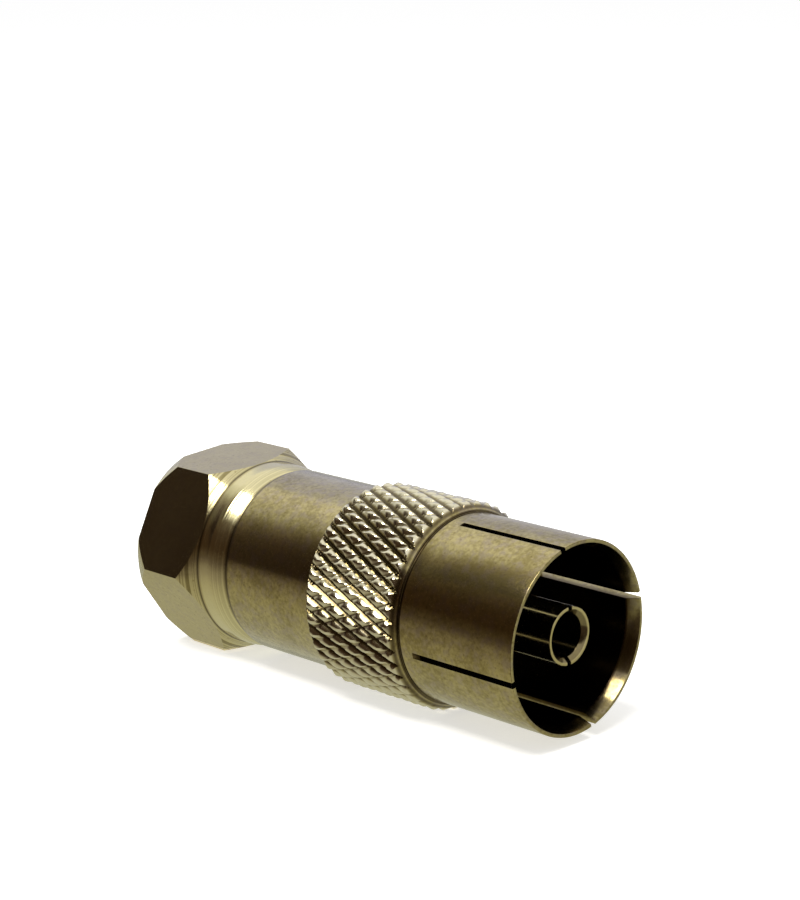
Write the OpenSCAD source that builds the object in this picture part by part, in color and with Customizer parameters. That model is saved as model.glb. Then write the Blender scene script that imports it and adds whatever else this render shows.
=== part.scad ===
// Adapter from a screw-on F plug to a push-on coaxial TV socket.
// The axis lies along X: the socket's mouth faces +X, the plug and its nut point to -X.
// Every lengthwise place below is a distance from the socket's mouth, measured towards the plug.

/* [Socket sleeve] */
// Bore of the slotted sleeve, for a 9.5 mm plug shell
sleeve_bore = 9.6; // [9.5:0.05:9.8]
// Wall of the sleeve
sleeve_wall = 0.5; // [0.4:0.05:0.6]
// Length of the sleeve in front of the grip
sleeve_len = 8; // [7:0.1:9]
// Depth of the room inside the sleeve
room_depth = 9.5; // [9:0.1:10.5]
// Depth of the lead-in chamfer, cut into the wall at the mouth
lead_in = 0.3; // [0.1:0.05:0.3]
// Length of the lead-in chamfer
lead_in_len = 0.75; // [0.5:0.05:1.5]
// Width of the saw cuts that part the sleeve into fingers
slot_w = 0.35; // [0.2:0.05:0.6]
// Length of the saw cuts
slot_len = 7.1; // [5:0.1:7.5]
// Saw cuts right across the sleeve: two make four fingers
slot_cuts = 2; // [1:1:3]
// Turn of the saw cuts about the axis, in degrees
slot_turn = 15; // [-45:1:45]

/* [Knurled grip] */
// Length of the knurled band
grip_len = 7; // [4:0.1:9]
// Diamonds around the band
knurl_count = 42; // [24:1:60]
// Length of one diamond along the axis
knurl_pitch = 2; // [1.2:0.1:3]
// Depth of the knurl's grooves
knurl_depth = 0.3; // [0.2:0.05:0.5]
// Length of the chamfer at each end of the band
grip_chamfer = 0.45; // [0.2:0.05:0.8]
// Height of that chamfer's foot over the body and the sleeve
grip_foot = 0.05; // [0.02:0.01:0.1]
// Height of the grooves' floor over the body and the sleeve
grip_step = 0.2; // [0.1:0.05:0.3]

/* [Body] */
// Diameter of the plain body between grip and nut
body_d = 10.7; // [10.4:0.1:10.9]
// Length of the plain body
body_len = 6.9; // [4:0.1:9]
// Chamfer on turned outer edges
edge = 0.15; // [0.05:0.05:0.2]

/* [Coupling nut] */
// Width across the flats of the hexagon
hex_af = 11; // [11:0.5:13]
// Length of the hexagon, which runs to the open end
hex_len = 5.2; // [4:0.1:7]
// Length of the chamfer on the hexagon's corners, next to the ring
ring_chamfer = 1; // [0.5:0.1:1.5]
// Length of the chamfer on the hexagon's corners, at the open end
end_chamfer = 1.4; // [0.5:0.1:2]
// Diameter of the chamfered face at the open end
end_face_d = 11.4; // [11:0.1:12]
// Diameter of the plain ring between the hexagon and the body
ring_d = 10.9; // [10.2:0.1:10.9]
// Length of the ring
ring_len = 2.1; // [2:0.1:4]
// Length of the rounding from the ring down to the body
crown_len = 0.9; // [0.4:0.1:1]
// Depth of that rounding
crown_depth = 0.35; // [0.1:0.05:0.4]
// Bore over the thread's crests, of a 3/8-32 thread
thread_bore = 8.66; // [8.6:0.02:8.8]
// Chamfer at the mouth of the thread
mouth_chamfer = 0.5; // [0.3:0.05:0.7]
// Thickness of the nut's inner lip
lip_thick = 1.5; // [1:0.1:1.6]
// Turn of the nut about the axis, from flat side down, in degrees
nut_turn = 5; // [-30:1:30]
// Gap between the nut and the body
nut_gap = 0.2; // [0.1:0.05:0.4]

/* [Ferrule] */
// Diameter of the ferrule's neck, pressed into the body
neck_d = 7; // [6.6:0.1:7.2]
// Diameter of the flange that holds the nut
flange_d = 8.4; // [8:0.05:8.5]
// Thickness of the flange
flange_thick = 1; // [0.6:0.1:1.5]
// Bore of the ferrule
ferrule_bore = 4.8; // [4.4:0.1:5.2]
// Gap round the neck in which the nut turns
turn_gap = 0.08; // [0.02:0.01:0.1]
// End play of the nut's lip against the flange
end_play = 0.1; // [0.05:0.05:0.2]

/* [Centre contact] */
// Outer diameter of the contact tube
contact_d = 3.2; // [3:0.05:3.6]
// Bore of the contact tube, for a 2.35 mm pin
contact_bore = 2.4; // [2.35:0.01:2.5]
// Depth of that bore
contact_bore_len = 9; // [8.5:0.1:10]
// Distance of the contact's tip behind the mouth
contact_recess = 0.6; // [0:0.1:2]
// Width of the saw cut in the contact tube
contact_slot_w = 0.3; // [0.2:0.05:0.4]
// Length of that saw cut
contact_slot_len = 7; // [5:0.1:7.5]
// Chamfer inside the contact's tip
contact_lead_in = 0.25; // [0.1:0.05:0.3]
// Diameter of the collar between the insulators
collar_d = 4; // [3.8:0.1:4.3]
// Length of the collar
collar_len = 0.8; // [0.5:0.1:1.5]
// Diameter of the shank inside the front insulator
shank_d = 1.4; // [1.2:0.1:2]
// Diameter of the plug's pin
pin_d = 0.9; // [0.8:0.05:1]
// Reach of the pin beyond the nut
pin_reach = 1.1; // [0.5:0.1:3]
// Length of the pin's pointed tip
pin_tip = 0.5; // [0.2:0.1:0.8]

/* [Insulators] */
// Diameter of the rear insulator's nose
nose_d = 5.6; // [5:0.1:6]
// Length of the nose
nose_len = 3.5; // [2:0.1:4]
// Length of the rear insulator's flange
seat_len = 1.5; // [1:0.1:2]

/* [Hidden] */
$fn = 96;
past = 1;

sleeve_r = sleeve_bore / 2;
sleeve_or = sleeve_r + sleeve_wall;
body_r = body_d / 2;
root_r = max(sleeve_or, body_r) + grip_step;
foot_r = max(sleeve_or, body_r) + grip_foot;
grip_r = root_r + knurl_depth;
chamfer_run = grip_chamfer * (grip_r + edge - foot_r) / (grip_r - foot_r);
ring_r = ring_d / 2;
hex_r = hex_af / 2 / cos(30);
thread_r = thread_bore / 2;
neck_r = neck_d / 2;
flange_r = flange_d / 2;
contact_r = contact_d / 2;
shank_r = shank_d / 2;
pin_r = pin_d / 2;

grip_end = sleeve_len + grip_len;
grip_middle = (sleeve_len + grip_end) / 2;
body_end = grip_end + body_len;
seat_start = room_depth + nose_len;
seat_end = seat_start + seat_len;
nut_start = body_end + nut_gap;
hex_start = nut_start + ring_len;
nut_end = hex_start + hex_len;
lip_end = nut_start + lip_thick;
flange_start = lip_end + end_play;
flange_end = flange_start + flange_thick;
collar_end = seat_end + collar_len;
pin_end = nut_end + pin_reach;

// Points are [distance from the mouth, radius].
module turned(outline) {
    rotate([0, -90, 0])
        rotate_extrude() polygon([for (p = outline) [p[1], p[0]]]);
}

module saw_cut(width, start, length, turn) {
    rotate([turn, 0, 0])
        translate([-start - length, -width / 2, -body_d])
            cube([length, width, 2 * body_d]);
}

// Everything inside the knurled surface, carried past both ends of the shell.
// Pyramids stand on a staggered grid: a crest at every second crossing, the grooves' floor at the others.
module knurl_form() {
    columns = 2 * knurl_count;
    rows = 2 * ceil(grip_len / knurl_pitch) + 3;
    last = rows + 1;
    place = function (j) j == 0 ? -past : j == last ? body_end + past
        : grip_middle + (j - last / 2) * knurl_pitch / 2;
    radius = function (i, j) j == 0 || j == last || (i + j) % 2 == 0 ? grip_r : root_r;
    spot = function (i, j) [-place(j), radius(i, j) * sin(i * 360 / columns), radius(i, j) * cos(i * 360 / columns)];
    at = function (i, j) j * columns + i % columns;
    near_tip = columns * (last + 1);
    far_tip = near_tip + 1;
    points = concat(
        [for (j = [0:last]) for (i = [0:columns - 1]) spot(i, j)],
        [[-place(0), 0, 0], [-place(last), 0, 0]]
    );
    skin = [for (j = [0:rows]) for (i = [0:columns - 1])
        for (t = (i + j) % 2 == 0
            ? [[at(i, j), at(i + 1, j), at(i, j + 1)], [at(i + 1, j), at(i + 1, j + 1), at(i, j + 1)]]
            : [[at(i, j), at(i + 1, j), at(i + 1, j + 1)], [at(i, j), at(i + 1, j + 1), at(i, j + 1)]]) t];
    caps = [for (i = [0:columns - 1])
        for (t = [[near_tip, at(i + 1, 0), at(i, 0)], [far_tip, at(i, last), at(i + 1, last)]]) t];
    polyhedron(points, concat(skin, caps));
}

module shell() {
    color([0.66, 0.62, 0.54])
    difference() {
        intersection() {
            turned([
                [lead_in_len, sleeve_r],
                [0, sleeve_r + lead_in],
                [0, sleeve_or - edge / 3],
                [edge / 3, sleeve_or],
                [sleeve_len, sleeve_or],
                [sleeve_len, foot_r],
                [sleeve_len + chamfer_run, grip_r + edge],
                [grip_end - chamfer_run, grip_r + edge],
                [grip_end, foot_r],
                [grip_end, body_r],
                [body_end - edge, body_r],
                [body_end, body_r - edge],
                [body_end, neck_r],
                [seat_start, neck_r],
                [seat_start, nose_d / 2],
                [room_depth, nose_d / 2],
                [room_depth, sleeve_r]
            ]);
            knurl_form();
        }
        for (k = [0:slot_cuts - 1])
            saw_cut(slot_w, -past, past + slot_len, slot_turn + k * 180 / slot_cuts);
    }
}

module ferrule() {
    color([0.62, 0.58, 0.5])
    turned([
        [seat_end, ferrule_bore / 2],
        [seat_end, neck_r - edge],
        [seat_end + edge, neck_r],
        [flange_start, neck_r],
        [flange_start, flange_r],
        [flange_end - edge, flange_r],
        [flange_end, flange_r - edge],
        [flange_end, ferrule_bore / 2]
    ]);
}

module hexagon() {
    intersection() {
        translate([-nut_end, 0, 0]) rotate([0, 90, 0])
            rotate(30) cylinder(h = hex_len, r = hex_r, $fn = 6);
        turned([
            [hex_start, 0],
            [hex_start, ring_r],
            [hex_start + ring_chamfer, hex_r],
            [nut_end - end_chamfer, hex_r],
            [nut_end, end_face_d / 2],
            [nut_end, 0]
        ]);
    }
}

module coupling_nut() {
    color([0.66, 0.62, 0.54])
    rotate([nut_turn, 0, 0])
    difference() {
        union() {
            turned(concat(
                [[nut_start, 0]],
                [for (t = [0:30:90]) [nut_start + crown_len * (1 - cos(t)), ring_r - crown_depth * (1 - sin(t))]],
                [[hex_start + edge, ring_r], [hex_start + edge, 0]]
            ));
            hexagon();
        }
        turned([
            [nut_start - past, 0],
            [nut_start - past, neck_r + turn_gap],
            [lip_end, neck_r + turn_gap],
            [lip_end, thread_r],
            [nut_end - mouth_chamfer, thread_r],
            [nut_end, thread_r + mouth_chamfer],
            [nut_end + past, thread_r + mouth_chamfer],
            [nut_end + past, 0]
        ]);
    }
}

module rear_insulator() {
    color([0.12, 0.11, 0.1])
    turned([
        [room_depth, contact_r],
        [room_depth, nose_d / 2],
        [seat_start, nose_d / 2],
        [seat_start, neck_r],
        [seat_end, neck_r],
        [seat_end, contact_r]
    ]);
}

module front_insulator() {
    color([0.85, 0.84, 0.8])
    turned([
        [collar_end, shank_r],
        [collar_end, ferrule_bore / 2],
        [flange_end, ferrule_bore / 2],
        [flange_end, shank_r]
    ]);
}

// One turned piece: the slotted tube for the TV plug's pin, the collar and the F plug's own pin.
module centre_contact() {
    color([0.7, 0.66, 0.58])
    difference() {
        turned([
            [contact_recess + contact_bore_len, 0],
            [contact_recess + contact_bore_len, contact_bore / 2],
            [contact_recess + contact_lead_in, contact_bore / 2],
            [contact_recess, contact_bore / 2 + contact_lead_in],
            [contact_recess, contact_r - edge / 3],
            [contact_recess + edge / 3, contact_r],
            [seat_end, contact_r],
            [seat_end, collar_d / 2],
            [collar_end, collar_d / 2],
            [collar_end, shank_r],
            [flange_end, shank_r],
            [flange_end, pin_r],
            [pin_end - pin_tip, pin_r],
            [pin_end, pin_r / 4],
            [pin_end, 0]
        ]);
        saw_cut(contact_slot_w, contact_recess - past, past + contact_slot_len, 0);
    }
}

shell();
ferrule();
coupling_nut();
rear_insulator();
front_insulator();
centre_contact();
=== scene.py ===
import bpy
import bmesh
import math
from mathutils import Vector, Matrix


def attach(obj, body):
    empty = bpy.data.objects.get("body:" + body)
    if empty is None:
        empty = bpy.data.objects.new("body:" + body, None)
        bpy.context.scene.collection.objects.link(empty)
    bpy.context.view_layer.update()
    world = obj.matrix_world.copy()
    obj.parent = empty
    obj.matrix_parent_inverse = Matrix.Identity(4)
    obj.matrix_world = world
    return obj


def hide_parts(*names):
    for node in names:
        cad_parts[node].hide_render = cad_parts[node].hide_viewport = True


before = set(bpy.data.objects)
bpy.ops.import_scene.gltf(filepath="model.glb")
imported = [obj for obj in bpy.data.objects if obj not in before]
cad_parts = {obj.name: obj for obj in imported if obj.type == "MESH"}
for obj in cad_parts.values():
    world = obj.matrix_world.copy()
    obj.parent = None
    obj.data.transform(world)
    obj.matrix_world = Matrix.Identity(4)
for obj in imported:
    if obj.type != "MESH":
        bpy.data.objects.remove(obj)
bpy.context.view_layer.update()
mm = 0.001
scene = bpy.context.scene
scene.view_settings.view_transform = "Standard"
print("stage: frame loaded")


# Small helpers for node trees.
def addNode(tree, kind, feeds=None, **settings):
    node = tree.nodes.new(kind)
    for key, value in settings.items():
        setattr(node, key, value)
    for key, value in (feeds or {}).items():
        if isinstance(value, bpy.types.NodeSocket):
            tree.links.new(value, node.inputs[key])
        else:
            node.inputs[key].default_value = value
    return node


def calc(tree, operation, *values, clamp=False):
    feeds = dict(enumerate(values))
    return addNode(tree, "ShaderNodeMath", feeds, operation=operation, use_clamp=clamp).outputs[0]


# The sum of two products.
def weigh(tree, first, firstShare, second, secondShare, clamp=False):
    return calc(tree, "ADD", calc(tree, "MULTIPLY", first, firstShare),
                calc(tree, "MULTIPLY", second, secondShare), clamp=clamp)


# A vector of products, such as a place with a scale of its own on each axis.
def products(tree, *pairs):
    feeds = {axis: calc(tree, "MULTIPLY", *pair) for axis, pair in enumerate(pairs)}
    return addNode(tree, "ShaderNodeCombineXYZ", feeds).outputs[0]


# The three parts of a place, and its distance from the axis.
def placeParts(tree, place):
    split = addNode(tree, "ShaderNodeSeparateXYZ", {0: place}).outputs
    return split, calc(tree, "SQRT", weigh(tree, split[1], split[1], split[2], split[2]))


def objectPlace(tree):
    return addNode(tree, "ShaderNodeTexCoord").outputs["Object"]


def noise(tree, place, scale, detail, roughness=0.5, dimensions="3D", **more):
    feeds = {"Vector": place, "Scale": scale, "Detail": detail, "Roughness": roughness, **more}
    return addNode(tree, "ShaderNodeTexNoise", feeds, noise_dimensions=dimensions).outputs["Fac"]


def remap(tree, value, limits, ends=(0.0, 1.0)):
    feeds = {"Value": value, "From Min": limits[0], "From Max": limits[1],
             "To Min": ends[0], "To Max": ends[1]}
    return addNode(tree, "ShaderNodeMapRange", feeds).outputs[0]


def mixTones(tree, share, first, second, **settings):
    feeds = {0: share, 6: first, 7: second}
    return addNode(tree, "ShaderNodeMix", feeds, data_type="RGBA", **settings).outputs[2]


# 1 for rays of the camera, of reflections and of transmission, 0 for light.
def seenRays(tree):
    path = addNode(tree, "ShaderNodeLightPath").outputs
    seen = calc(tree, "MAXIMUM", path["Is Camera Ray"], path["Is Glossy Ray"])
    return calc(tree, "MAXIMUM", seen, path["Is Transmission Ray"])


def newTree(name, kind, inputs, outputs):
    tree = bpy.data.node_groups.new(name, kind)
    for socketName, socketType, value in inputs:
        socket = tree.interface.new_socket(socketName, in_out="INPUT", socket_type=socketType)
        if value is not None:
            socket.default_value = value
    for socketName, socketType in outputs:
        tree.interface.new_socket(socketName, in_out="OUTPUT", socket_type=socketType)
    return tree, tree.nodes.new("NodeGroupInput").outputs, tree.nodes.new("NodeGroupOutput").inputs


def socketId(tree, name):
    return next(item.identifier for item in tree.interface.items_tree
                if item.name == name and item.in_out == "INPUT")


# The last nodes of a tree of shapes.
def endShape(tree, geometry, given, result):
    real = addNode(tree, "GeometryNodeRealizeInstances", {0: geometry})
    last = addNode(tree, "GeometryNodeSetMaterial", {"Geometry": real.outputs[0],
                                                     "Material": given["Material"]})
    tree.links.new(last.outputs[0], result["Geometry"])
    return tree


# Small helpers for objects and materials.
def newObject(name, data):
    obj = bpy.data.objects.new(name, data)
    scene.collection.objects.link(obj)
    return obj


def shapedMesh(obj):
    graph = bpy.context.evaluated_depsgraph_get()
    return bpy.data.meshes.new_from_object(obj.evaluated_get(graph))


def runTree(obj, tree, values):
    modifier = obj.modifiers.new("shape", "NODES")
    modifier.node_group = tree
    for name, value in values.items():
        modifier[socketId(tree, name)] = value
    mesh = shapedMesh(obj)
    obj.modifiers.remove(modifier)
    old = obj.data
    obj.data = mesh
    bpy.data.meshes.remove(old)


def newMaterial(name):
    material = bpy.data.materials.new(name)
    material.use_nodes = True
    return material, material.node_tree


# A material without the usual shader, and its surface socket.
def bareMaterial(name):
    material, tree = newMaterial(name)
    tree.nodes.clear()
    return material, tree, addNode(tree, "ShaderNodeOutputMaterial").inputs[0]


def addRelief(tree, shader, height, strength, distance):
    relief = addNode(tree, "ShaderNodeBump", {"Height": height, "Strength": strength,
                                              "Distance": distance})
    tree.links.new(relief.outputs[0], shader.inputs["Normal"])


# The plated finish. Scales are per metre, details are (levels, roughness) of a noise, and
# limits are the values of a noise that are spread from none to full.
nickelLooks = {
    "fineDetail": (4.0, 0.6), "fineShare": 0.6, "broadScale": 420.0, "broadDetail": (3.0, 0.55),
    "mottleLimits": (0.4, 0.6), "ringDetail": (2.0, 0.7), "streakLimits": (0.44, 0.6),
    "cloudScale": 1900.0, "cloudDetail": (3.0, 0.6), "cloudSeed": 3.0,
    "cloudLimits": (0.47, 0.62), "cloudShare": 0.55,
    "pitScale": 2600.0, "pitLimits": (0.1, 0.2), "pitShare": 0.4, "pitTone": (0.45, 0.36, 0.22, 1),
    "drawnAlong": 260.0, "drawnAcross": 9000.0, "drawnDetail": (3.0, 0.65),
    "fineHeight": 0.2, "pitHeight": 0.15, "wearLimits": (0.35, 0.65), "reliefDistance": 0.00001,
}


def nickelGroup():
    tree, given, result = newTree("nickelFinish", "ShaderNodeTree", [
        ("Light Tone", "NodeSocketColor", (0.54, 0.455, 0.21, 1)),
        ("Dark Tone", "NodeSocketColor", (0.3, 0.24, 0.09, 1)),
        ("Cloud Tone", "NodeSocketColor", (0.42, 0.345, 0.27, 1)),
        ("Mottle Size", "NodeSocketFloat", 0.25),
        ("Mottle Amount", "NodeSocketFloat", 0.5),
        ("Smooth Roughness", "NodeSocketFloat", 0.2),
        ("Dull Roughness", "NodeSocketFloat", 0.34),
        ("Turning Depth", "NodeSocketFloat", 0.5),
        ("Turning Scale", "NodeSocketFloat", 14000.0),
        ("Turning Tint", "NodeSocketFloat", 0.0),
        ("Drawn Depth", "NodeSocketFloat", 0.0),
    ], [("Color", "NodeSocketColor"), ("Roughness", "NodeSocketFloat"),
        ("Height", "NodeSocketFloat")])
    n = nickelLooks
    place = objectPlace(tree)
    split, radius = placeParts(tree, place)
    # the mottle's size is in mm
    fineScale = calc(tree, "DIVIDE", 1 / mm, given["Mottle Size"])
    fine = noise(tree, place, fineScale, *n["fineDetail"])
    broad = noise(tree, place, n["broadScale"], *n["broadDetail"])
    mottle = weigh(tree, fine, n["fineShare"], broad, 1 - n["fineShare"])
    mottle = remap(tree, mottle, n["mottleLimits"])
    # rings left by the turning tool follow distance along the axis and from it
    ringScale = given["Turning Scale"]
    rings = products(tree, (split[0], ringScale), (radius, ringScale))
    rings = noise(tree, rings, 1.0, *n["ringDetail"], "2D")
    streak = remap(tree, rings, n["streakLimits"])
    dark = weigh(tree, mottle, given["Mottle Amount"], streak, given["Turning Tint"], clamp=True)
    tone = mixTones(tree, dark, given["Light Tone"], given["Dark Tone"])
    # greyer clouds drift over the warm tone
    cloud = noise(tree, place, n["cloudScale"], *n["cloudDetail"], "4D", W=n["cloudSeed"])
    cloud = calc(tree, "MULTIPLY", remap(tree, cloud, n["cloudLimits"]), n["cloudShare"])
    cloud = calc(tree, "MULTIPLY", cloud, given["Mottle Amount"])
    tone = mixTones(tree, cloud, tone, given["Cloud Tone"])
    # fine pits where the plating is thin
    pits = addNode(tree, "ShaderNodeTexVoronoi", {"Vector": place, "Scale": n["pitScale"]},
                   feature="F1")
    pits = remap(tree, pits.outputs["Distance"], n["pitLimits"], (1.0, 0.0))
    pitShare = calc(tree, "MULTIPLY", pits, n["pitShare"])
    tone = mixTones(tree, pitShare, tone, n["pitTone"], blend_type="MULTIPLY")
    # drawn stock has a long grain along the axis
    drawn = products(tree, (split[0], n["drawnAlong"]), (split[1], n["drawnAcross"]),
                     (split[2], n["drawnAcross"]))
    drawn = noise(tree, drawn, 1.0, *n["drawnDetail"])
    height = weigh(tree, rings, given["Turning Depth"], drawn, given["Drawn Depth"])
    height = calc(tree, "ADD", height, calc(tree, "MULTIPLY", fine, n["fineHeight"]))
    height = calc(tree, "SUBTRACT", height, calc(tree, "MULTIPLY", pits, n["pitHeight"]))
    wear = weigh(tree, fine, 0.5, broad, 0.5)
    rough = remap(tree, wear, n["wearLimits"], (given["Smooth Roughness"], given["Dull Roughness"]))
    for name, value in (("Color", tone), ("Roughness", rough), ("Height", height)):
        tree.links.new(value, result[name])
    return tree


# Painted shade: a near-black tone laid into hollows, gaps and corners where shade falls.
paintedShadeTone = (0.05, 0.032, 0.018, 1)
wornTone = (0.86, 0.81, 0.62, 1)
# Painted sheen: a bright cream tone on the nut's ring, standing in for a brighter reflection there.
ringSheenTone = (0.88, 0.8, 0.47, 1)


# A second tone, of painted shade, of a painted sheen or of worn plating, in a band of radius or of
# place along the axis.
def bandGroup():
    tree, given, result = newTree("toneBand", "ShaderNodeTree", [
        ("Color", "NodeSocketColor", None), ("Band Tone", "NodeSocketColor", paintedShadeTone),
        ("Along Axis", "NodeSocketFloat", 0.0), ("Middle", "NodeSocketFloat", 0.005),
        ("Half Width", "NodeSocketFloat", 0.0001), ("Softness", "NodeSocketFloat", 0.0001),
        ("Amount", "NodeSocketFloat", 0.5),
    ], [("Color", "NodeSocketColor")])
    split, radius = placeParts(tree, objectPlace(tree))
    axial = calc(tree, "MULTIPLY", split[0], -1.0)
    feeds = {0: given["Along Axis"], 2: radius, 3: axial}
    where = addNode(tree, "ShaderNodeMix", feeds).outputs[0]
    away = calc(tree, "ABSOLUTE", calc(tree, "SUBTRACT", where, given["Middle"]))
    outside = calc(tree, "SUBTRACT", away, given["Half Width"])
    outside = calc(tree, "DIVIDE", outside, given["Softness"], clamp=True)
    share = calc(tree, "MULTIPLY", calc(tree, "SUBTRACT", 1.0, outside), given["Amount"])
    tone = mixTones(tree, share, given["Color"], given["Band Tone"])
    tree.links.new(tone, result["Color"])
    return tree


nickelTree = nickelGroup()
bandTree = bandGroup()


# Each band is (tone, along the axis or not, from, to, softness, amount), in mm.
def nickel(name, values, bump=0.12, bands=()):
    material, tree = newMaterial(name)
    shader = tree.nodes["Principled BSDF"]
    group = addNode(tree, "ShaderNodeGroup", values, node_tree=nickelTree)
    colour = group.outputs["Color"]
    for tone, alongAxis, start, end, softness, amount in bands:
        band = addNode(tree, "ShaderNodeGroup", {
            "Color": colour, "Band Tone": tone, "Along Axis": float(alongAxis),
            "Middle": (start + end) / 2 * mm, "Half Width": (end - start) / 2 * mm,
            "Softness": softness * mm, "Amount": amount}, node_tree=bandTree)
        colour = band.outputs["Color"]
    tree.links.new(colour, shader.inputs["Base Color"])
    tree.links.new(group.outputs["Roughness"], shader.inputs["Roughness"])
    addRelief(tree, shader, group.outputs["Height"], bump, nickelLooks["reliefDistance"])
    shader.inputs["Metallic"].default_value = 1.0
    return material


# The first band lightens the knurl's crests as worn plating; the others paint shade into the bore
# and the room behind it, the lead-in chamfer, the knurl's grooves, the body's end by the nut and
# the corner at the grip's foot.
shellBands = (
    (wornTone, False, 5.75, 5.9, 0.1, 0.75),
    (paintedShadeTone, False, 0.0, 4.83, 0.01, 0.93), (paintedShadeTone, False, 4.84, 4.95, 0.36, 0.72),
    (paintedShadeTone, False, 5.55, 5.6, 0.12, 0.75), (paintedShadeTone, True, 21.81, 22.0, 0.15, 0.92),
    (paintedShadeTone, True, 7.88, 8.04, 0.01, 0.8))
# Painted sheen on the ring; painted shade in the gap by the body and in the crease between the ring
# and the hexagon.
nutBands = (
    (ringSheenTone, True, 22.4, 23.95, 0.15, 0.6), (paintedShadeTone, True, 22.0, 22.16, 0.17, 0.9),
    (paintedShadeTone, True, 24.17, 24.23, 0.07, 0.6))
# Painted shade in the contact's bore and in the chamfer at its mouth.
contactBands = ((paintedShadeTone, False, 1.0, 1.4, 0.06, 0.65),)
nutLooks = {"Light Tone": (0.58, 0.5, 0.26, 1), "Dark Tone": (0.46, 0.385, 0.18, 1),
            "Mottle Amount": 0.45}
finishes = {
    "shell": nickel("nickelShell", {
        "Mottle Amount": 0.9, "Smooth Roughness": 0.1, "Dull Roughness": 0.2,
        "Turning Depth": 0.25}, bands=shellBands),
    "nut": nickel("nickelNut", {
        **nutLooks, "Smooth Roughness": 0.09, "Dull Roughness": 0.17,
        "Turning Depth": 0.8}, bands=nutBands),
    "flats": nickel("nickelFlats", {
        **nutLooks, "Smooth Roughness": 0.16, "Dull Roughness": 0.2,
        "Turning Depth": 0.0, "Drawn Depth": 0.2}),
    "cut": nickel("nickelCut", {
        "Light Tone": (0.68, 0.6, 0.33, 1), "Dark Tone": (0.27, 0.22, 0.09, 1),
        "Mottle Amount": 0.12, "Smooth Roughness": 0.12, "Dull Roughness": 0.2,
        "Turning Depth": 5.0, "Turning Scale": 5200.0, "Turning Tint": 0.85},
        bump=0.8, bands=nutBands),
    "inner": nickel("nickelInner", {"Mottle Amount": 0.5, "Turning Depth": 0.8}),
    "contact": nickel("nickelContact", {
        "Mottle Amount": 0.3, "Smooth Roughness": 0.12, "Dull Roughness": 0.2,
        "Turning Depth": 0.4}, bands=contactBands),
}

plasticLooks = {"cloudScale": 900.0, "cloudDetail": 4.0, "grainScale": 9000.0, "grainDetail": 2.0,
                "roughnessSpread": 0.15, "relief": 0.2, "reliefDistance": 0.00002}


def plastic(name, tone, shade, roughness):
    material, tree = newMaterial(name)
    shader = tree.nodes["Principled BSDF"]
    p = plasticLooks
    place = objectPlace(tree)
    cloud = noise(tree, place, p["cloudScale"], p["cloudDetail"])
    grain = noise(tree, place, p["grainScale"], p["grainDetail"])
    tree.links.new(mixTones(tree, cloud, (*tone, 1), (*shade, 1)), shader.inputs["Base Color"])
    rough = remap(tree, grain, (0.0, 1.0), (roughness, roughness + p["roughnessSpread"]))
    tree.links.new(rough, shader.inputs["Roughness"])
    addRelief(tree, shader, grain, p["relief"], p["reliefDistance"])
    return material


finishes["rear"] = plastic("darkPlastic", (0.02, 0.018, 0.016), (0.03, 0.026, 0.022), 0.45)
finishes["front"] = plastic("palePlastic", (0.76, 0.74, 0.68), (0.68, 0.66, 0.59), 0.4)
print("stage: finishes made")


# Turned forms. Points are (distance from the mouth, radius, rounding) in mm.
def rounded(outline, steps=3):
    points = []
    for i, corner in enumerate(outline):
        here = Vector(corner[:2])
        size = corner[2] if len(corner) > 2 else 0
        if not size:
            points.append(here)
            continue
        before = Vector(outline[i - 1][:2]) - here
        after = Vector(outline[(i + 1) % len(outline)][:2]) - here
        # two roundings on one short side may not meet
        reach = min(size / math.tan(before.angle(after) / 2), 0.45 * before.length,
                    0.45 * after.length)
        first = here + before.normalized() * reach
        last = here + after.normalized() * reach
        for k in range(steps + 1):
            t = k / steps
            points.append((1 - t) ** 2 * first + 2 * t * (1 - t) * here + t ** 2 * last)
    return points


# Points on the axis share one vertex, so that the form closes there.
def turned(points, columns):
    bm = bmesh.new()
    rings = []
    for u, radius in points:
        if radius < 1e-6:
            rings.append([bm.verts.new((-u * mm, 0, 0))] * columns)
            continue
        rings.append([bm.verts.new((-u * mm, radius * mm * math.sin(2 * math.pi * i / columns),
                                    radius * mm * math.cos(2 * math.pi * i / columns)))
                      for i in range(columns)])
    for j in range(len(rings)):
        here, after = rings[j], rings[(j + 1) % len(rings)]
        if here[0] is here[1] and after[0] is after[1]:
            continue
        for i in range(columns):
            k = (i + 1) % columns
            bm.faces.new(list(dict.fromkeys((here[i], here[k], after[k], after[i]))))
    return bm, rings


# Saw cuts: the faces between two columns go, and flat walls close the cut.
def sawCuts(bm, rings, rows, centres, half, reach, softening):
    columns = len(rings[0])
    edges = set()
    for centre in centres:
        inside = {rings[r][(centre + k) % columns]
                  for r in rows[1:-1] for k in range(1 - reach, reach)}
        bmesh.ops.delete(bm, geom=list(inside), context="VERTS")
        made = []
        for side in (-1, 1):
            wall = [rings[r][(centre + side * reach) % columns] for r in rows]
            for vert in wall:
                radius = math.hypot(vert.co.y, vert.co.z)
                angle = 2 * math.pi * centre / columns + side * math.asin(half * mm / radius)
                vert.co.y, vert.co.z = radius * math.sin(angle), radius * math.cos(angle)
            made.append(bm.faces.new(wall))
        across = [(centre + k) % columns for k in range(-reach, reach + 1)]
        made.append(bm.faces.new([rings[rows[-1]][c] for c in across]
                                 + [rings[rows[0]][c] for c in reversed(across)]))
        for face in made:
            for edge in face.edges:
                if len(set(edge.link_faces) & set(made)) == 1:
                    edges.add(edge)
    bmesh.ops.bevel(bm, geom=list(edges), offset=softening * mm, segments=2, profile=0.5,
                    affect="EDGES", clamp_overlap=True)


# The row that is nearest to a place on the outline.
def rowAt(points, u, radius):
    return min(range(len(points)), key=lambda k: (points[k] - Vector((u, radius))).length)


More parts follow.
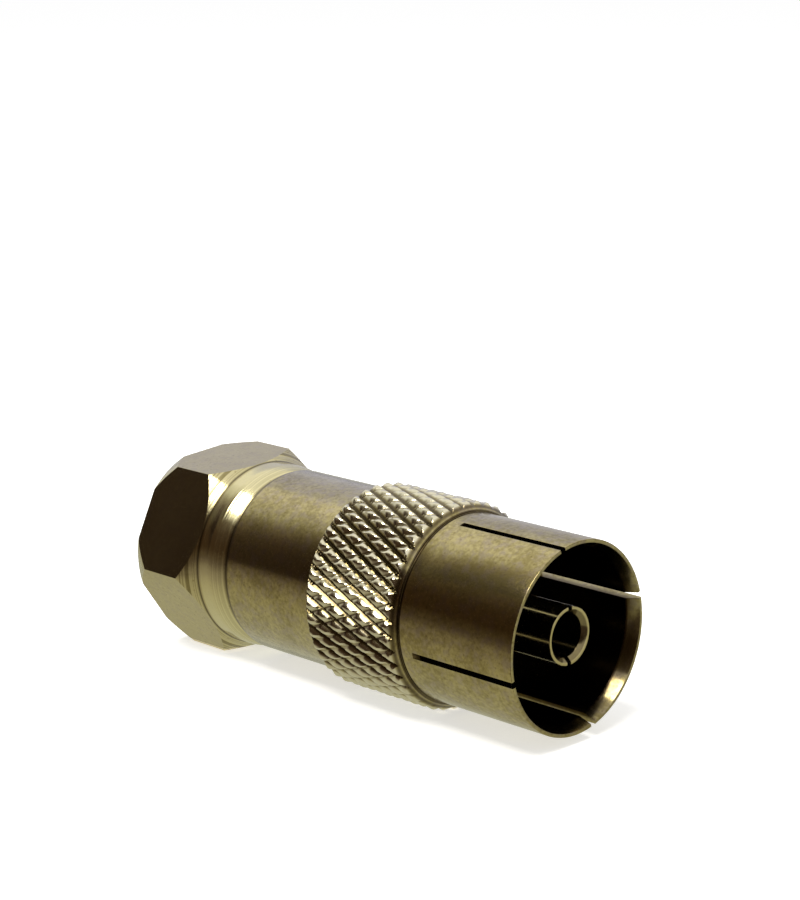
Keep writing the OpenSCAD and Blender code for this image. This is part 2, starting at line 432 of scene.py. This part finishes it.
def setShading(mesh, sharp):
    mesh.shade_smooth()
    mesh.set_sharp_from_angle(angle=math.radians(sharp))


def meshOf(bm, name, sharp=32):
    bmesh.ops.remove_doubles(bm, verts=bm.verts, dist=1e-8)
    for vert in bm.verts:  # nothing stands out past the mouth
        vert.co.x = min(vert.co.x, 0)
    bmesh.ops.recalc_face_normals(bm, faces=bm.faces)
    mesh = bpy.data.meshes.new(name)
    bm.to_mesh(mesh)
    bm.free()
    setShading(mesh, sharp)
    return mesh


def piece(name, mesh, body, slot, nodes, *materials):
    obj = newObject(name, mesh)
    if mesh.materials:  # clearing sets every face back to the first slot
        mesh.materials.clear()
    for material in materials:
        mesh.materials.append(material)
    # large faces keep their own direction beside narrow roundings
    even = obj.modifiers.new("even", "WEIGHTED_NORMAL")
    even.mode, even.weight, even.keep_sharp = "FACE_AREA", 80, True
    weighted = shapedMesh(obj)
    obj.modifiers.remove(even)
    obj.data = weighted
    bpy.data.meshes.remove(mesh)
    weighted.name = name
    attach(obj, body)
    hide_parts(*nodes)
    return obj


# The shell with its knurled grip.
shellSizes = {
    "bore": 4.8, "outside": 5.3, "body": 5.35, "bodyEnd": 21.9, "neck": 3.5, "seat": 13.0,
    "nose": 2.8, "roomDepth": 9.5, "leadIn": 0.3, "leadInLength": 0.75, "sharp": 28,
    "slotEnd": 7.1, "slotHalf": 0.175, "slotReach": 3, "slotSoftening": 0.02,
    "slotAngles": (75, 165, 255, 345),
    "gripStart": 8.0, "gripEnd": 15.0, "gripFloor": 5.55, "gripDepth": 0.3, "gripFoot": 5.4,
    "blankExtra": 0.15, "chamferSteps": 16,
    "knurlCount": 42, "knurlPitch": 2.0, "stepsPerPitch": 12, "pointFlat": 0.06,
    "grooveFlat": 0.08, "secondDepth": 0.7, "crestRounding": 1.7,
}


def knurlTree():
    tree, given, result = newTree("knurl", "GeometryNodeTree", [
        ("Geometry", "NodeSocketGeometry", None), ("Count", "NodeSocketInt", 42),
        ("Pitch", "NodeSocketFloat", 0.002), ("Depth", "NodeSocketFloat", 0.0004),
        ("Floor Radius", "NodeSocketFloat", 0.00545), ("Middle", "NodeSocketFloat", 0.01135),
        ("Length", "NodeSocketFloat", 0.0067), ("Point Flat", "NodeSocketFloat", 0.1),
        ("Groove Flat", "NodeSocketFloat", 0.08), ("Second Depth", "NodeSocketFloat", 1.0),
        ("Crest Rounding", "NodeSocketFloat", 1.6), ("Material", "NodeSocketMaterial", None),
    ], [("Geometry", "NodeSocketGeometry")])
    split, radius = placeParts(tree, addNode(tree, "GeometryNodeInputPosition").outputs[0])
    around = calc(tree, "MULTIPLY", calc(tree, "ARCTAN2", split[1], split[2]),
                  calc(tree, "DIVIDE", given["Count"], 2 * math.pi))
    fromMiddle = calc(tree, "ADD", split[0], given["Middle"])
    along = calc(tree, "DIVIDE", fromMiddle, given["Pitch"])
    flankEnd = calc(tree, "SUBTRACT", 1.0, given["Point Flat"])

    def wave(value):  # 1 on a crest, 0 in a groove
        twice = calc(tree, "MULTIPLY", calc(tree, "FRACT", value), 2.0)
        return calc(tree, "ABSOLUTE", calc(tree, "SUBTRACT", twice, 1.0))

    def flank(value):
        return remap(tree, value, (given["Groove Flat"], flankEnd))

    left = wave(calc(tree, "ADD", around, along))
    right = wave(calc(tree, "SUBTRACT", around, along))
    # the second family of grooves may be cut less deep than the first
    second = calc(tree, "MULTIPLY", given["Second Depth"],
                  calc(tree, "SUBTRACT", 1.0, flank(right)))
    height = calc(tree, "MINIMUM", flank(left), calc(tree, "SUBTRACT", 1.0, second))
    # crests are worn round, grooves stay sharp
    height = calc(tree, "POWER", calc(tree, "SUBTRACT", 1.0, height), given["Crest Rounding"])
    height = calc(tree, "MULTIPLY", given["Depth"], calc(tree, "SUBTRACT", 1.0, height))
    wanted = calc(tree, "MINIMUM", radius, calc(tree, "ADD", given["Floor Radius"], height))
    share = calc(tree, "DIVIDE", wanted, calc(tree, "MAXIMUM", radius, 1e-9))
    moved = products(tree, (split[0], 1.0), (split[1], share), (split[2], share))
    # each face is split along the groove that it belongs to
    near = calc(tree, "LESS_THAN", calc(tree, "ABSOLUTE", fromMiddle),
                calc(tree, "MULTIPLY", given["Length"], 0.5))
    onGrip = calc(tree, "GREATER_THAN", radius,
                  calc(tree, "MULTIPLY", given["Floor Radius"], 0.99))
    inBand = calc(tree, "MULTIPLY", near, onGrip)
    lower = calc(tree, "MULTIPLY", inBand, calc(tree, "LESS_THAN", left, right))
    faces = given["Geometry"]
    for chosen, method in ((lower, "FIXED"), (inBand, "FIXED_ALTERNATE")):
        faces = addNode(tree, "GeometryNodeTriangulate", {"Mesh": faces, "Selection": chosen},
                        quad_method=method).outputs[0]
    placed = addNode(tree, "GeometryNodeSetPosition", {"Geometry": faces, "Position": moved})
    return endShape(tree, placed.outputs[0], given, result)


def makeShell():
    s = shellSizes
    middle = (s["gripStart"] + s["gripEnd"]) / 2
    half = (s["gripEnd"] - s["gripStart"]) / 2
    over = s["gripFloor"] + s["gripDepth"] + s["blankExtra"]
    points = rounded([
        (s["slotEnd"], s["bore"]), (s["leadInLength"], s["bore"], 0.03),
        (0, s["bore"] + s["leadIn"], 0.03), (0, s["outside"], 0.05),
        (s["slotEnd"], s["outside"]), (s["gripStart"], s["outside"], 0.04),
        (s["gripStart"], s["gripFoot"])])
    slotRows = list(range(rowAt(points, s["slotEnd"], s["outside"]) + 1))
    # the grip's blank rises at both ends, and its rows between follow the knurl's pitch
    chamfer = over - s["gripFoot"]
    rises = [chamfer * k / s["chamferSteps"] for k in range(1, s["chamferSteps"] + 1)]
    step = s["knurlPitch"] / s["stepsPerPitch"]
    most = int((half - chamfer) / step)
    points += [Vector((s["gripStart"] + rise, s["gripFoot"] + rise)) for rise in rises]
    points += [Vector((middle + k * step, over)) for k in range(-most, most + 1)]
    points += [Vector((s["gripEnd"] - rise, s["gripFoot"] + rise)) for rise in reversed(rises)]
    points += rounded([
        (s["gripEnd"], s["gripFoot"]), (s["gripEnd"], s["body"], 0.02),
        (s["bodyEnd"], s["body"], 0.15), (s["bodyEnd"], s["neck"], 0.05),
        (s["seat"], s["neck"], 0.05), (s["seat"], s["nose"], 0.05),
        (s["roomDepth"], s["nose"], 0.05), (s["roomDepth"], s["bore"], 0.05),
        (s["slotEnd"], s["bore"])])[:-1]
    columns = s["knurlCount"] * s["stepsPerPitch"]
    bm, rings = turned(points, columns)
    centres = [round(columns * angle / 360) for angle in s["slotAngles"]]
    sawCuts(bm, rings, slotRows, centres, s["slotHalf"], s["slotReach"], s["slotSoftening"])
    blank = newObject("shell_blank", meshOf(bm, "shell_skin"))
    runTree(blank, knurlTree(), {
        "Count": s["knurlCount"], "Pitch": s["knurlPitch"] * mm, "Depth": s["gripDepth"] * mm,
        "Floor Radius": s["gripFloor"] * mm, "Middle": middle * mm, "Length": 2 * half * mm,
        "Point Flat": s["pointFlat"], "Groove Flat": s["grooveFlat"],
        "Second Depth": s["secondDepth"], "Crest Rounding": s["crestRounding"],
        "Material": finishes["shell"]})
    mesh = blank.data
    bpy.data.objects.remove(blank)
    setShading(mesh, s["sharp"])
    return piece("shell_skin", mesh, "body", "nickel_shell", ["shell"], finishes["shell"])


shell = makeShell()
print("stage: shell made", len(shell.data.polygons))


# The turning nut. Shares of the thread's ridge are of its depth and of its pitch.
nutSizes = {
    "start": 22.1, "end": 29.4, "lipBore": 3.58, "lipEnd": 23.6, "wall": 4.76, "crest": 4.33,
    "mouthChamfer": 0.25, "ring": 5.45, "crownLength": 1.3, "crownDepth": 0.48, "crownSteps": 12,
    "hexStart": 24.2, "hexRadius": 6.3508, "ringFace": 5.45, "ringSlope": 0.9008,
    "endFace": 5.7, "endSlope": 0.465, "turn": 5, "edge": 0.06, "edgeAngle": 24, "sharp": 30,
    "columns": 192, "ringOverlap": 0.4, "coneMargin": 0.25, "cutterMargin": 0.5, "lipMargin": 1,
    "pitch": 0.79375, "threadStart": 24.85, "turns": 5.5, "threadSteps": 96,
    "flatLean": 0.05, "flatArea": 4, "cutLean": 0.2, "cutRadius": 4.6,
}
ridgeShares = {"foot": -0.2, "footHalf": 0.44, "crestHalf": 0.07, "fade": 14.0, "least": 0.02}


def temporary(bm, name):
    return newObject(name, meshOf(bm, name))


def combine(obj, other, operation):
    modifier = obj.modifiers.new("cut", "BOOLEAN")
    modifier.operation, modifier.object, modifier.solver = operation, other, "EXACT"
    mesh = shapedMesh(obj)
    obj.modifiers.remove(modifier)
    obj.data = mesh
    bpy.data.objects.remove(other)
    return obj


def threadTree():
    tree, given, result = newTree("threadRidge", "GeometryNodeTree", [
        ("Geometry", "NodeSocketGeometry", None), ("Pitch", "NodeSocketFloat", 0.0008),
        ("Turns", "NodeSocketFloat", 6.0), ("Wall Radius", "NodeSocketFloat", 0.00476),
        ("Depth", "NodeSocketFloat", 0.0004), ("Start", "NodeSocketFloat", 0.0247),
        ("Steps", "NodeSocketInt", 96), ("Material", "NodeSocketMaterial", None),
    ], [("Geometry", "NodeSocketGeometry")])
    share = ridgeShares
    path = addNode(tree, "GeometryNodeCurveSpiral", {
        "Resolution": given["Steps"], "Rotations": given["Turns"],
        "Start Radius": given["Wall Radius"], "End Radius": given["Wall Radius"],
        "Height": calc(tree, "MULTIPLY", given["Pitch"], given["Turns"])})
    upright = addNode(tree, "GeometryNodeSetCurveNormal", {0: path.outputs[0]}, mode="Z_UP")

    def spot(depthShare, pitchShare):
        return products(tree, (given["Depth"], depthShare), (given["Pitch"], pitchShare))

    ridge = addNode(tree, "GeometryNodeCurvePrimitiveQuadrilateral", {
        "Point 1": spot(share["foot"], -share["footHalf"]),
        "Point 2": spot(1.0, -share["crestHalf"]),
        "Point 3": spot(1.0, share["crestHalf"]),
        "Point 4": spot(share["foot"], share["footHalf"])}, mode="POINTS")
    # the ridge runs out at both ends
    part = addNode(tree, "GeometryNodeSplineParameter").outputs["Factor"]
    rest = calc(tree, "SUBTRACT", 1.0, part)
    fade = calc(tree, "MINIMUM", calc(tree, "MULTIPLY", part, share["fade"]),
                calc(tree, "MULTIPLY", rest, share["fade"]), clamp=True)
    swept = addNode(tree, "GeometryNodeCurveToMesh", {
        "Curve": upright.outputs[0], "Profile Curve": ridge.outputs[0],
        "Scale": calc(tree, "MAXIMUM", fade, share["least"]), "Fill Caps": True})
    laid = addNode(tree, "GeometryNodeTransform", {
        "Geometry": swept.outputs[0], "Rotation": (0, -math.pi / 2, 0),
        "Translation": products(tree, (given["Start"], -1.0))})
    return endShape(tree, laid.outputs[0], given, result)


def hexPrism(start, end, radius):
    prism = bmesh.new()
    angles = [math.radians(60 * k) for k in range(6)]
    ends = [[prism.verts.new((-u * mm, radius * mm * math.cos(a), radius * mm * math.sin(a)))
             for a in angles] for u in (start, end)]
    for corners in ends:
        prism.faces.new(corners)
    for k in range(6):
        after = (k + 1) % 6
        prism.faces.new((ends[0][k], ends[0][after], ends[1][after], ends[1][k]))
    return prism


def nutBody():
    n = nutSizes

    def blank(name, outline):
        return temporary(turned([Vector(point) for point in outline], n["columns"])[0], name)

    # the crown is an arc that rises to the ring's radius
    reach = 2 * math.atan(n["crownDepth"] / n["crownLength"])
    bend = n["crownLength"] / math.sin(reach)
    angles = [reach * (1 - k / n["crownSteps"]) for k in range(n["crownSteps"] + 1)]
    crown = [(n["start"] + n["crownLength"] - bend * math.sin(angle),
              n["ring"] - bend * (1 - math.cos(angle))) for angle in angles]
    ringEnd = n["hexStart"] + n["ringOverlap"]
    widest = n["hexRadius"] + n["coneMargin"]
    margin = n["cutterMargin"]
    # the hexagon is a prism whose corners are turned down by two cones
    cones = blank("cones", (
        (n["hexStart"], 0), (n["hexStart"], n["ringFace"]),
        (n["hexStart"] + (widest - n["ringFace"]) / n["ringSlope"], widest),
        (n["end"] - (widest - n["endFace"]) / n["endSlope"], widest),
        (n["end"], n["endFace"]), (n["end"], 0)))
    prism = hexPrism(n["hexStart"] - margin, n["end"] + margin, n["hexRadius"])
    hexagon = combine(cones, temporary(prism, "prism"), "INTERSECT")
    ring = blank("ring", [(n["start"], 0), *crown, (ringEnd, n["ring"]), (ringEnd, 0)])
    bore = blank("bore", rounded([
        (n["start"] - n["lipMargin"], 0), (n["start"] - n["lipMargin"], n["lipBore"]),
        (n["lipEnd"], n["lipBore"], 0.05), (n["lipEnd"], n["wall"], 0.05),
        (n["end"] - n["mouthChamfer"], n["wall"], 0.03),
        (n["end"] + margin, n["wall"] + n["mouthChamfer"] + margin), (n["end"] + margin, 0)]))
    return combine(combine(ring, hexagon, "UNION"), bore, "DIFFERENCE")


def makeNut():
    n = nutSizes
    body = nutBody()
    soft = body.modifiers.new("edges", "BEVEL")
    soft.width, soft.segments, soft.limit_method = n["edge"] * mm, 2, "ANGLE"
    soft.angle_limit = math.radians(n["edgeAngle"])
    mesh = shapedMesh(body)
    bpy.data.objects.remove(body)
    seed = newObject("seed", bpy.data.meshes.new("seed"))
    runTree(seed, threadTree(), {
        "Pitch": n["pitch"] * mm, "Turns": n["turns"], "Wall Radius": n["wall"] * mm,
        "Depth": (n["wall"] - n["crest"]) * mm, "Start": n["threadStart"] * mm,
        "Steps": n["threadSteps"], "Material": finishes["nut"]})
    bm = bmesh.new()
    bm.from_mesh(mesh)
    bmesh.ops.rotate(bm, verts=bm.verts, cent=(0, 0, 0),
                     matrix=Matrix.Rotation(math.radians(n["turn"]), 3, "X"))
    bm.from_mesh(seed.data)
    # the six flats are drawn stock, and sloped or end faces show the turning tool
    for face in bm.faces:
        middle = face.calc_center_median()
        lean = abs(face.normal.x)
        if lean < n["flatLean"] and face.calc_area() > n["flatArea"] * mm ** 2:
            face.material_index = 1
        elif lean > n["cutLean"] and math.hypot(middle.y, middle.z) > n["cutRadius"] * mm:
            face.material_index = 2
    bpy.data.objects.remove(seed)
    return piece("nut_skin", meshOf(bm, "nut_skin", n["sharp"]), "nut", "nickel_nut",
                 ["coupling_nut"], finishes["nut"], finishes["flats"], finishes["cut"])


nut = makeNut()
print("stage: nut made", len(nut.data.polygons))


# Inner pieces.
ferruleOutline = [
    (14.5, 2.4, 0.05), (14.5, 3.5, 0.15), (23.7, 3.5, 0.03), (23.7, 4.2, 0.06), (24.7, 4.2, 0.15),
    (24.7, 2.4, 0.06)]
rearOutline = [
    (9.5, 1.6, 0.04), (9.5, 2.8, 0.08), (13.0, 2.8, 0.03), (13.0, 3.5, 0.05), (14.5, 3.5, 0.05),
    (14.5, 1.6, 0.05)]
frontOutline = [
    (15.3, 0.7, 0.05), (15.3, 2.4, 0.05), (24.7, 2.4, 0.05), (24.7, 1.3, 0.06), (24.4, 1.0, 0.05),
    (24.4, 0.7, 0.02)]


def simplePiece(name, outline, slot, node, material, columns=128):
    bm, _ = turned(rounded(outline), columns)
    piece(name, meshOf(bm, name), "body", slot, [node], material)


simplePiece("ferrule_skin", ferruleOutline, "nickel_inner", "ferrule", finishes["inner"])
simplePiece("rear_insulator_skin", rearOutline, "insulator_dark", "rear_insulator",
            finishes["rear"])
simplePiece("front_insulator_skin", frontOutline, "insulator", "front_insulator",
            finishes["front"])

contactSizes = {
    "bore": 1.2, "outside": 1.6, "slotEnd": 7.6, "slotHalf": 0.15, "slotReach": 2,
    "slotSoftening": 0.015, "slotAngles": (0, 180), "columns": 96,
}


def makeContact():
    c = contactSizes
    points = rounded([
        (9.6, 0), (9.6, c["bore"], 0.1), (c["slotEnd"], c["bore"]), (0.85, c["bore"], 0.02),
        (0.6, 1.45, 0.02), (0.6, c["outside"], 0.05), (c["slotEnd"], c["outside"]),
        (14.5, c["outside"], 0.02), (14.5, 2.0, 0.05), (15.3, 2.0, 0.05), (15.3, 0.7, 0.02),
        (24.7, 0.7, 0.02), (24.7, 0.45, 0.02), (30.0, 0.45, 0.1), (30.5, 0.11, 0.06), (30.5, 0)])
    bm, rings = turned(points, c["columns"])
    first, last = (rowAt(points, c["slotEnd"], c[side]) for side in ("bore", "outside"))
    centres = [round(c["columns"] * angle / 360) for angle in c["slotAngles"]]
    sawCuts(bm, rings, list(range(first, last + 1)), centres, c["slotHalf"], c["slotReach"],
            c["slotSoftening"])
    piece("contact_skin", meshOf(bm, "contact_skin"), "body", "nickel_contact",
          ["centre_contact"], finishes["contact"])


makeContact()
print("stage: inner pieces made")


# Stage, light and camera. The stage is in mm, the lamp and the camera are in metres.
stageValues = {"floorHeight": -5.85, "floorReach": 3000, "floorTone": 0.9, "lift": 0.54,
               "roomLight": 0.5}
lampValues = {"direction": (0.0, -0.40, 0.917), "distance": 0.35, "length": 0.28, "width": 0.15,
              "power": 1.36, "colour": (1, 0.97, 0.9)}
cameraValues = {"place": (0.07165, -0.08539, 0.03516), "direction": (-0.6872, 0.6923, -0.2202),
                "lens": 100.25, "sensor": 36, "near": 0.005, "far": 20}


# A flat sheet from one corner, with its two sides in mm.
def sheetOf(name, corner, across, up, material):
    start, across, up = Vector(corner) * mm, Vector(across) * mm, Vector(up) * mm
    mesh = bpy.data.meshes.new(name)
    mesh.from_pydata([start, start + across, start + across + up, start + up], [], [(0, 1, 2, 3)])
    mesh.materials.append(material)
    obj = newObject(name, mesh)
    return obj


def floorMaterial():
    material, tree, surface = bareMaterial("floorPaper")
    tone = stageValues["floorTone"]
    paper = addNode(tree, "ShaderNodeBsdfDiffuse", {"Color": (tone, tone, tone, 1)})
    lift = addNode(tree, "ShaderNodeEmission", {
        "Strength": calc(tree, "MULTIPLY", seenRays(tree), stageValues["lift"])})
    total = addNode(tree, "ShaderNodeAddShader", {0: paper.outputs[0], 1: lift.outputs[0]})
    tree.links.new(total.outputs[0], surface)
    return material


# A card's tone follows one axis, from the first stop's place in mm to the last's.
def cardMaterial(name, axis, stops):
    material, tree, surface = bareMaterial(name)
    start, end = stops[0][0], stops[-1][0]
    along = addNode(tree, "ShaderNodeSeparateXYZ", {0: objectPlace(tree)}).outputs[axis]
    ramp = addNode(tree, "ShaderNodeValToRGB", {0: remap(tree, along, (start * mm, end * mm))})
    marks = ramp.color_ramp.elements
    marks[0].color, marks[1].color = (*stops[0][1], 1), (*stops[-1][1], 1)
    for at, colour in stops[1:-1]:
        marks.new((at - start) / (end - start)).color = (*colour, 1)
    glow = addNode(tree, "ShaderNodeEmission", {"Color": ramp.outputs[0], "Strength": 1.0})
    tree.links.new(glow.outputs[0], surface)
    return material


reach = stageValues["floorReach"]
sheetOf("floor", (-reach, -reach, stageValues["floorHeight"]), (2 * reach, 0, 0),
        (0, 2 * reach, 0), floorMaterial())


# Cards are met by reflections only.
def makeCard(name, corner, across, up, axis, stops):
    card = sheetOf(name, corner, across, up, cardMaterial(name, axis, stops))
    for kind in ("camera", "diffuse", "shadow", "transmission"):
        setattr(card, "visible_" + kind, False)


# Each card is (name, corner, across, up, axis, stops), and a stop is (place, tone).
cards = [
    ("cardSide", (-150, -270, -5.7), (0, 280, 0), (0, 0, 300), 1, (
        (-270, (0.05, 0.04, 0.03)), (-120, (0.09, 0.075, 0.05)), (-97, (0.14, 0.125, 0.1)),
        (-72, (0.26, 0.23, 0.19)), (-47, (0.47, 0.45, 0.4)), (-30, (0.76, 0.76, 0.72)),
        (10, (0.95, 0.95, 0.92)))),
    ("cardDusk", (-149.5, -270, -180), (0, 280, 216), (0, 0, 150), 1, (
        (-270, (0.012, 0.006, 0.004)), (-120, (0.008, 0.004, 0.003)), (-104, (0.02, 0.011, 0.008)),
        (-77, (0.052, 0.034, 0.026)), (-66, (0.09, 0.065, 0.052)), (-52, (0.2, 0.17, 0.14)),
        (-40, (0.36, 0.34, 0.27)), (-30, (0.6, 0.6, 0.54)), (10, (0.95, 0.95, 0.92)))),
    ("cardFront", (-150, -125, -5.7), (350, 0, 0), (0, 0, 135), 2, (
        (-5, (0.1, 0.075, 0.05)), (20, (0.045, 0.026, 0.014)), (60, (0.05, 0.03, 0.018)),
        (97, (0.085, 0.06, 0.04)), (130, (0.12, 0.095, 0.065)))),
    ("cardLow", (-250, -125, -5.6), (460, 0, 0), (0, 250, 0), 1, (
        (-125, (0.08, 0.06, 0.045)), (-79, (0.11, 0.085, 0.07)), (-41, (0.16, 0.13, 0.1)),
        (-18, (0.31, 0.28, 0.22)), (-11, (0.44, 0.42, 0.31)), (-5, (0.53, 0.53, 0.42)),
        (30, (0.62, 0.64, 0.55)), (125, (0.62, 0.62, 0.66)))),
    ("cardShade", (3, -125, -5.5), (200, 0, 0), (0, 121, 0), 1, (
        (-125, (0.08, 0.06, 0.05)), (-4, (0.13, 0.1, 0.085)))),
    ("cardBack", (-190, 60, -5.7), (170, 85, 0), (0, 0, 130), 2, (
        (-5, (0.6, 0.6, 0.68)), (80, (0.65, 0.66, 0.8)), (125, (0.85, 0.87, 0.95)))),
    ("cardRight", (20, 75, -5.7), (60, -50, 0), (0, 0, 30), 2, (
        (-5, (0.3, 0.28, 0.3)), (25, (0.5, 0.48, 0.52)))),
]
for values in cards:
    makeCard(*values)


# The room is plain white where it is seen, and a little weaker as light.
def makeRoom():
    world = bpy.data.worlds.new("room")
    scene.world = world
    world.use_nodes = True
    room = world.node_tree
    light = stageValues["roomLight"]
    strength = calc(room, "ADD", light, calc(room, "MULTIPLY", seenRays(room), 1 - light))
    room.links.new(strength, room.nodes["Background"].inputs["Strength"])
    room.nodes["Background"].inputs["Color"].default_value = (1, 1, 1, 1)


# The lamp faces the frame's origin, with its long side along the axis.
def stripLamp(name, values):
    light = bpy.data.lights.new(name, "AREA")
    light.shape, light.size, light.size_y = "RECTANGLE", values["length"], values["width"]
    light.energy, light.color = values["power"], values["colour"]
    away = Vector(values["direction"]).normalized()
    across = away.cross(Vector((1, 0, 0))).normalized()
    turn = Matrix((across.cross(away), across, away)).transposed().to_4x4()
    newObject(name, light).matrix_world = Matrix.Translation(away * values["distance"]) @ turn


def makeCamera(values):
    camera = newObject("camera", bpy.data.cameras.new("camera"))
    camera.location = values["place"]
    facing = Vector(values["direction"]).to_track_quat("-Z", "Y")
    camera.rotation_euler = facing.to_euler()
    camera.data.lens, camera.data.sensor_width = values["lens"], values["sensor"]
    camera.data.sensor_fit = "HORIZONTAL"
    camera.data.clip_start, camera.data.clip_end = values["near"], values["far"]
    scene.camera = camera


makeRoom()
stripLamp("lampStrip", lampValues)
makeCamera(cameraValues)
print("stage: light and camera set")
